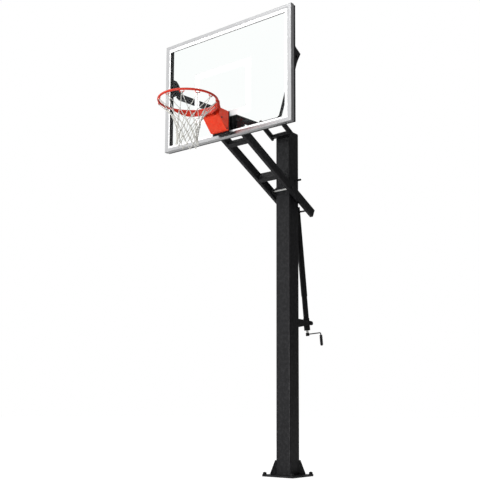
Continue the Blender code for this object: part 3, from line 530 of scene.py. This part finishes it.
print_frame("print_border", bx0 + side_w - 0.006, bx1 - side_w + 0.006, bz0 + tb_w - 0.006, bz1 - tb_w + 0.006,
            0.054 - side_w + 0.006, 0.066 - side_w + 0.006, 0.062 - tb_w + 0.006, 0.049 - tb_w + 0.006, 0.003)
SQ_W, SQ_Z0, SQ_Z1, BAR = 0.612, bz0 + 0.175 * H, bz0 + 0.644 * H, 0.051
SQ_X = -0.030
print_frame("print_target", SQ_X - SQ_W / 2, SQ_X + SQ_W / 2, SQ_Z0, SQ_Z1, BAR, BAR, BAR, BAR, 0.002)

# ------------------------------------------------------------------- rim
lo_r, hi_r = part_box("rim_ring")
RR, ROD = 0.2366, 0.0090
ry, rz = lo_r.y + RR + ROD, hi_r.z - ROD

bm = bmesh.new()
N = 144
tube(bm, [Vector((RR * math.sin(2 * math.pi * i / N), ry + RR * math.cos(2 * math.pi * i / N), rz)) for i in range(N)],
     ROD, 20, closed=True)
ring = mesh_object("ring_rod", bm, ORANGE_SHADED, 60)
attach(ring, "rim")
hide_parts("rim_ring")

# crescent plate under the back of the rod, with softened edges
FL = math.radians(65.8)
outline = [(RR * math.sin(-FL + 2 * FL * k / 60), ry + RR * math.cos(-FL + 2 * FL * k / 60)) for k in range(61)]
yb_f = ry + 0.2910
wing = [(0.2110, ry + 0.1310), (0.1960, ry + 0.1610), (0.1600, ry + 0.2080), (0.1190, ry + 0.2670), (0.089, yb_f)]


def smooth_path(pts, per=6):
    out = []
    for i in range(len(pts) - 1):
        p0 = pts[max(i - 1, 0)]
        p1, p2 = pts[i], pts[i + 1]
        p3 = pts[min(i + 2, len(pts) - 1)]
        for k in range(per):
            t = k / per
            out.append(tuple(0.5 * ((2 * p1[j]) + (-p0[j] + p2[j]) * t + (2 * p0[j] - 5 * p1[j] + 4 * p2[j] - p3[j]) * t * t
                                    + (-p0[j] + 3 * p1[j] - 3 * p2[j] + p3[j]) * t ** 3) for j in range(2)))
    out.append(pts[-1])
    return out


wsm = smooth_path([outline[-1]] + wing)[1:]
outline += wsm
outline += [(-x, y) for x, y in reversed(wsm)]
bm = bmesh.new()
cen = Vector((0, ry + 0.24, 0))


def inset(p, d):
    v = Vector((p[0], p[1], 0))
    r = Vector((v.x, v.y - ry, 0))
    return v


za, zb_ = rz - 0.0115, rz - 0.0055
skin(bm, [[Vector((x, y, z)) for x, y in outline] for z in (za, zb_)])
plate = mesh_object("ring_flange_plate", bm, ORANGE_SHADED, 30)
bev = plate.modifiers.new("edge", 'BEVEL')
bev.width, bev.segments, bev.limit_method, bev.angle_limit = 0.0012, 2, 'ANGLE', math.radians(60)
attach(plate, "rim")
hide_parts("rim_ring")

# upright strap under the rod and the two webs that tie it to the housing
STRAP = [(0, 0.050), (30, 0.050), (42, 0.047), (52, 0.038), (60, 0.028), (68, 0.017), (72, 0.0125)]


def strap_depth(deg):
    a = abs(deg)
    for (a0, d0), (a1, d1) in zip(STRAP, STRAP[1:]):
        if a <= a1:
            return d0 + (d1 - d0) * (a - a0) / (a1 - a0)
    return STRAP[-1][1]


bm = bmesh.new()
loops = []
for k in range(97):
    deg = -72 + 1.5 * k
    a = math.radians(deg)
    out = Vector((math.sin(a), math.cos(a), 0))
    c = Vector((0, ry, rz))
    d = strap_depth(deg)
    loops.append([c + out * (RR + e) + Z * z for e, z in
                  ((-0.003, -0.0040), (0.003, -0.0040), (0.003, -d + 0.0012), (0.0022, -d + 0.0002), (0.0012, -d),
                   (-0.0012, -d), (-0.0022, -d + 0.0002), (-0.003, -d + 0.0012))])
skin(bm, loops)
for side in (-1, 1):
    y0, y1 = ry + RR - 0.0045, -1.1070
    sect = [(y0, rz - 0.0080), (y1, rz - 0.0080), (y1, rz - 0.0480), (y0, rz - 0.0480)]
    skin(bm, [[Vector((x, y, z)) for y, z in sect] for x in (side * 0.040, side * 0.046)])
strap = mesh_object("ring_strap", bm, ORANGE_SHADED, 30)
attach(strap, "rim")
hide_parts("rim_ring")

# fillet weld between rod and plate
bm = bmesh.new()
for side in (1, -1):
    pts, rad = [], []
    for i in range(61):
        a = -FL * 0.98 + 2 * FL * 0.98 * i / 60
        rr = RR + side * 0.0070
        pts.append(Vector((rr * math.sin(a), ry + rr * math.cos(a), rz - 0.0062)))
        rad.append(0.0022 + 0.0004 * math.sin(i * 2.1) + 0.0002 * math.sin(i * 5.3))
    if side == 1:
        tube(bm, pts, 0.002, 8, radii=rad)
weld = mesh_object("ring_weld", bm, ORANGE, 60)
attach(weld, "rim")

# twelve net hooks: short bars hung from the rod on two bent legs
bm = bmesh.new()
HOOKS = 12
hook_pts = []
for k in range(HOOKS):
    a = 2 * math.pi * k / HOOKS
    out = Vector((math.sin(a), math.cos(a), 0))
    tan = Vector((math.cos(a), -math.sin(a), 0))
    on_plate = abs(math.degrees(a) if math.degrees(a) <= 180 else math.degrees(a) - 360) < 66
    rr = RR - (0.0066 if on_plate else 0.0)
    base = Vector((0, ry, rz)) + out * rr
    top = -0.0052 if on_plate else -0.0065
    half, drop, rb = 0.0175, -0.0235, 0.0062
    pts = [base + tan * -half + Z * top]
    for i in range(5):
        q = math.radians(90 * i / 4)
        pts.append(base + tan * (-half + rb - rb * math.cos(q)) + Z * (drop + rb - rb * math.sin(q)))
    for i in range(5):
        q = math.radians(90 * i / 4)
        pts.append(base + tan * (half - rb + rb * math.sin(q)) + Z * (drop + rb - rb * math.cos(q)))
    pts.append(base + tan * half + Z * top)
    tube(bm, pts, 0.0036, 8)
    hook_pts.append(base + Z * drop)
hooks = mesh_object("net_hooks", bm, ORANGE_SHADED, 60)
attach(hooks, "rim")

# ------------------------------------------------------------------- net
lo_n, hi_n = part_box("net_funnel")
ROWS = [(hook_pts[0].z - 0.0010, RR), (2.9260, 0.1370), (2.8730, 0.1090), (2.8200, 0.0960),
        (2.7690, 0.0885), (2.7200, 0.0860), (lo_n.z + 0.030, 0.0920)]
CORD = 0.0030


def wob(p, s, k):
    return Vector((noise.noise(p * s + Vector((3.1, 0, 0))), noise.noise(p * s + Vector((0, 7.7, 0))),
                   noise.noise(p * s + Vector((0, 0, 5.3))))) * k


def row_point(j, m):
    """m counts half steps round the ring: even on even rows, odd on odd rows."""
    z, r = ROWS[j]
    a = math.pi * m / HOOKS
    p = Vector((r * math.sin(a), ry + r * math.cos(a), z))
    if j == 0:
        return hook_pts[(m // 2) % HOOKS] + Z * -0.0015
    k = min(1.0, j / 3)
    return p + wob(p, 9.0, 0.014 * k) + wob(p, 31.0, 0.005 * k)


bm = bmesh.new()
bm.loops.layers.uv.new("cord")
run = 0.0
for j in range(len(ROWS) - 1):
    for m in range(2 * HOOKS):
        if (m + j) % 2:
            continue
        p = row_point(j, m)
        for d in (-1, 1):
            q = row_point(j + 1, (m + d) % (2 * HOOKS))
            axis = Vector((0, ry, 0))
            n = 10
            pts = []
            mid = (p + q) / 2
            rad_out = Vector((mid.x, mid.y - ry, 0)).normalized()
            tang = Vector((-rad_out.y, rad_out.x, 0))
            for i in range(n + 1):
                t = i / n
                s = math.sin(math.pi * t)
                # each leg leaves one knot on its own side, bows a little and meets the next
                off = tang * (-d * 0.0018 * (1 - t) + d * 0.0018 * t)
                bow = rad_out * (-0.004 * s if j == 0 else 0.0016 * s) + Z * (-0.003 * s)
                pt = p.lerp(q, t) + off + bow
                pt += wob(pt, 45.0, 0.0022 * s)
                pts.append(pt)
            tube(bm, pts, CORD * (0.92 if j == 0 else 1.0), 8, uv=True, v0=run)
            run += 0.137
net = mesh_object("net_cords", bm, ROPE, 80)
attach(net, "rim")
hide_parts("net_funnel")

# knots: each is two small crossed wraps
bm = bmesh.new()
bm.loops.layers.uv.new("cord")
for j in range(1, len(ROWS)):
    for m in range(2 * HOOKS):
        if (m + j) % 2:
            continue
        c = row_point(j, m)
        rad_out = Vector((c.x, c.y - ry, 0)).normalized()
        tang = Vector((-rad_out.y, rad_out.x, 0))
        for q, (ra, rb) in enumerate(((0.0052, 0.0046), (0.0046, 0.0054))):
            tilt = Matrix.Rotation(math.radians(32 if q else -32) + 0.4 * noise.noise(c * 20), 3, rad_out)
            u1, v1 = tilt @ tang, rad_out
            off = Z * (0.0016 if q else -0.0016)
            pts = [c + off + u1 * (ra * math.cos(2 * math.pi * i / 12)) + v1 * (rb * math.sin(2 * math.pi * i / 12))
                   for i in range(12)]
            tube(bm, pts, CORD * 1.05, 7, closed=True, uv=True, v0=run)
        if j == len(ROWS) - 1:       # tail below the last knots
            pts = [c + Z * (-0.0016 * i) + wob(c + Z * i, 20.0, 0.0006 * i) for i in range(6)]
            tube(bm, pts, CORD, 8, uv=True, v0=run)
knots = mesh_object("net_knots", bm, ROPE, 80)
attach(knots, "rim")
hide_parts("net_funnel")

# loops of cord round each hook
bm = bmesh.new()
bm.loops.layers.uv.new("cord")
for k in range(HOOKS):
    c = hook_pts[k]
    a = 2 * math.pi * k / HOOKS
    out = Vector((math.sin(a), math.cos(a), 0))
    tan = Vector((math.cos(a), -math.sin(a), 0))
    for s in (-0.0032, 0.0, 0.0032):
        pts = [c + tan * (s + 0.0006 * math.sin(k * 3.1 + s * 900)) + out * (0.0046 * math.cos(2 * math.pi * i / 14))
               + Z * (0.0046 * math.sin(2 * math.pi * i / 14)) for i in range(14)]
        tube(bm, pts, 0.0020, 7, closed=True, uv=True, v0=run)
wraps = mesh_object("net_hook_wraps", bm, ROPE, 80)
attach(wraps, "rim")
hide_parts("net_funnel")

# ------------------------------------------------ rim housing's small parts
lo_h, hi_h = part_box("rim_housing")
jr = {j["name"]: j for j in frame["joints"]}
hy, hz = jr["rim_breakaway"]["pos_m"][1], jr["rim_breakaway"]["pos_m"][2]
bm = bmesh.new()
for s in (-1, 1):
    x = hi_h.x if s > 0 else lo_h.x
    lathe(bm, (x - s * 0.003, hy - 0.0130, hz + 0.0120), X * s, [(0, 0.0062), (0.0045, 0.0062), (0.0062, 0.0050), (0.0066, 0.0020)], 28)
    hexagon(bm, (x - s * 0.002, -1.0690, 2.9760), X * s, 0.0075, 0.0065)
pins = mesh_object("rim_pins", bm, OXIDE, 35)
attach(pins, "rim")

# the rim mount's box, read from its CAD part
lo_m, hi_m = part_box("rim_mount")

# ------------------------------------------------------------- fasteners
for i, (sx, sy) in enumerate(((-1, -1), (1, -1), (1, 1), (-1, 1)), 1):
    lo_a, hi_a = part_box("anchor_bolt_%d" % i)
    c = Vector(((lo_a.x + hi_a.x) / 2, (lo_a.y + hi_a.y) / 2, 0))
    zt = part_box("base_plate")[1].z
    bm = bmesh.new()
    # washer, nut, and a stud whose thread is real rings
    lathe(bm, c + Z * (zt + 0.0003), Z, [(0, 0.0215), (0.0004, 0.0220), (0.0026, 0.0220), (0.0030, 0.0215)], 40)
    hexagon(bm, c + Z * (zt + 0.0032), Z, 0.0185, 0.0165)
    prof = [(0.0, 0.0088)]
    z, top_z = 0.001, hi_a.z - 0.0085
    while z < top_z - lo_a.z - 0.003:
        prof += [(z, 0.0088), (z + 0.00062, 0.0099), (z + 0.00088, 0.0099), (z + 0.0015, 0.0088)]
        z += 0.0015
    prof += [(top_z - lo_a.z - 0.001, 0.0088), (top_z - lo_a.z, 0.0076)]
    lathe(bm, c + Z * lo_a.z, Z, prof, 28)
    ob = mesh_object("anchor_set_%d" % i, bm, BLACK_FINE, 35)
    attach(ob, "pole")
    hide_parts("anchor_bolt_%d" % i)


def through_bolt(name, cad, body, mat_shank, mat_head, head_r, head_h, shank_r):
    """Bolt along X built from its CAD box: shank, washers, head and nut."""
    lo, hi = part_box(cad)
    y, z = (lo.y + hi.y) / 2, (lo.z + hi.z) / 2
    bm = bmesh.new()
    lathe(bm, (lo.x + head_h * 0.5, y, z), X, [(0, shank_r), (hi.x - lo.x - head_h, shank_r)], 36)
    for s, x in ((-1, lo.x), (1, hi.x)):
        inner = x - s * head_h
        hexagon(bm, (inner + s * 0.0022, y, z), X * s, head_r, head_h - 0.0022 - 0.0004, mat_index=1)
        lathe(bm, (inner, y, z), X * s, [(0, head_r * 1.04), (0.0003, head_r * 1.07), (0.0019, head_r * 1.07), (0.0022, head_r * 1.04)],
              36, mat_index=1)
    ob = mesh_object(name, bm, [mat_shank, mat_head], 35)
    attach(ob, body)
    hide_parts(cad)
    return ob


through_bolt("hinge_bar_bright", "lower_hinge_bar", "pole", ZINC, OXIDE, 0.0150, 0.0079, 0.0078)
through_bolt("upper_hinge_bolt_set", "upper_hinge_bolt", "pole", OXIDE, OXIDE, 0.0135, 0.0088, 0.0080)
through_bolt("jack_pin_set", "jack_top_pin", "lower_arms", OXIDE, OXIDE, 0.0125, 0.0078, 0.0080)
through_bolt("board_bolt_set", "lower_board_bolt", "lower_arms", OXIDE, OXIDE, 0.0135, 0.0088, 0.0080)

# boxes of the left and right side brackets, read from their CAD parts
for s, tag in ((-1, "left"), (1, "right")):
    lo_b, hi_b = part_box("side_bracket_" + tag)

# ----------------------------------------------------------------- crank grip
jc = jr["grip_spin"]
gp, gd = Vector(jc["pos_m"]), Vector(jc["axis"]).normalized()
lo_c, hi_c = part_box("crank_grip")
prof = [(0.0210, 0.0095), (0.0218, 0.0120), (0.0240, 0.0134)]
for k in range(13):
    s = 0.0270 + 0.0066 * k
    prof += [(s, 0.0140), (s + 0.0030, 0.0143), (s + 0.0046, 0.0128), (s + 0.0058, 0.0128)]
prof += [(0.1150, 0.0138), (0.1185, 0.0130), (0.1203, 0.0105)]
bm = bmesh.new()
a_, u_, v_ = frame_of(gd)
outer = [ring_pts(gp + a_ * s, u_, v_, r, 40) for s, r in prof]
inner = [ring_pts(gp + a_ * s, u_, v_, 0.0063, 40) for s in (0.1203, 0.0210)]
skin(bm, outer + inner, closed=True)
grip = mesh_object("crank_grip_ribbed", bm, PLASTIC, 40)
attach(grip, "grip")
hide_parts("crank_grip")

# ------------------------------------------------------------------ stage
SKY_DARK, SKY_KEY, SKY_TOP = 0.13, 1.10, 0.35
bm = bmesh.new()
rings = [0.0, 0.5, 1.5, 4.0, 12.0, 40.0]
c0 = bm.verts.new((0, 0, -0.0006))
prev = None
for r in rings[1:]:
    cur = [bm.verts.new((r * math.cos(2 * math.pi * k / 64), r * math.sin(2 * math.pi * k / 64), -0.0006)) for k in range(64)]
    for k in range(64):
        l = (k + 1) % 64
        if prev is None:
            bm.faces.new((c0, cur[k], cur[l]))
        else:
            bm.faces.new((prev[k], cur[k], cur[l], prev[l]))
    prev = cur
floor = mesh_object("floor", bm, floor_mat(), None)

world = bpy.data.worlds.new("studio")
scene.world = world
world.use_nodes = True
nt = world.node_tree
for n in list(nt.nodes):
    nt.nodes.remove(n)


def wmap(src, f0, f1, t0, t1):
    r = nt.nodes.new("ShaderNodeMapRange")
    r.inputs["From Min"].default_value, r.inputs["From Max"].default_value = f0, f1
    r.inputs["To Min"].default_value, r.inputs["To Max"].default_value = t0, t1
    nt.links.new(src, r.inputs["Value"])
    return r.outputs["Result"]


def wmath(op, a, b):
    r = nt.nodes.new("ShaderNodeMath")
    r.operation = op
    for k, v in ((0, a), (1, b)):
        if isinstance(v, (int, float)):
            r.inputs[k].default_value = v
        else:
            nt.links.new(v, r.inputs[k])
    return r.outputs[0]


out = nt.nodes.new("ShaderNodeOutputWorld")
lp = nt.nodes.new("ShaderNodeLightPath")
tc = nt.nodes.new("ShaderNodeTexCoord")
sep = nt.nodes.new("ShaderNodeSeparateXYZ")
nt.links.new(tc.outputs["Generated"], sep.inputs["Vector"])
side_t = wmath('ADD', wmath('MULTIPLY', sep.outputs["X"], -0.72), wmath('MULTIPLY', sep.outputs["Y"], -0.69))
level = wmath('ADD', wmap(side_t, 0.05, 0.85, SKY_DARK, SKY_KEY), wmap(sep.outputs["Z"], 0.25, 1.0, 0.0, SKY_TOP))
bg1 = node(nt, "ShaderNodeBackground", Strength=1.0)
bg1.inputs["Color"].default_value = (1, 1, 1, 1)
bg2 = node(nt, "ShaderNodeBackground", Strength=1.0)
nt.links.new(level, bg2.inputs["Color"])
mxs = nt.nodes.new("ShaderNodeMixShader")
nt.links.new(wmath('MAXIMUM', lp.outputs["Is Camera Ray"], lp.outputs["Is Transmission Ray"]), mxs.inputs["Fac"])
nt.links.new(bg2.outputs[0], mxs.inputs[1])
nt.links.new(bg1.outputs[0], mxs.inputs[2])
nt.links.new(mxs.outputs[0], out.inputs["Surface"])


def area(name, loc, target, size, energy):
    l = bpy.data.lights.new(name, 'AREA')
    l.shape, l.size, l.energy = 'SQUARE', size, energy
    ob = bpy.data.objects.new(name, l)
    scene.collection.objects.link(ob)
    ob.visible_camera = ob.visible_transmission = False
    ob.location = loc
    ob.rotation_euler = (Vector(target) - Vector(loc)).to_track_quat('-Z', 'Y').to_euler()
    return ob


area("key", (-0.6, -5.5, 8.2), (0, -0.5, 2.0), 2.4, 150)
area("front_low", (0.3, -8.0, 1.1), (0, -0.8, 2.4), 2.2, 300)
area("back", (-4.5, 6.0, 4.5), (0, 0, 2.0), 3.0, 60)

scene.view_settings.view_transform = 'Standard'
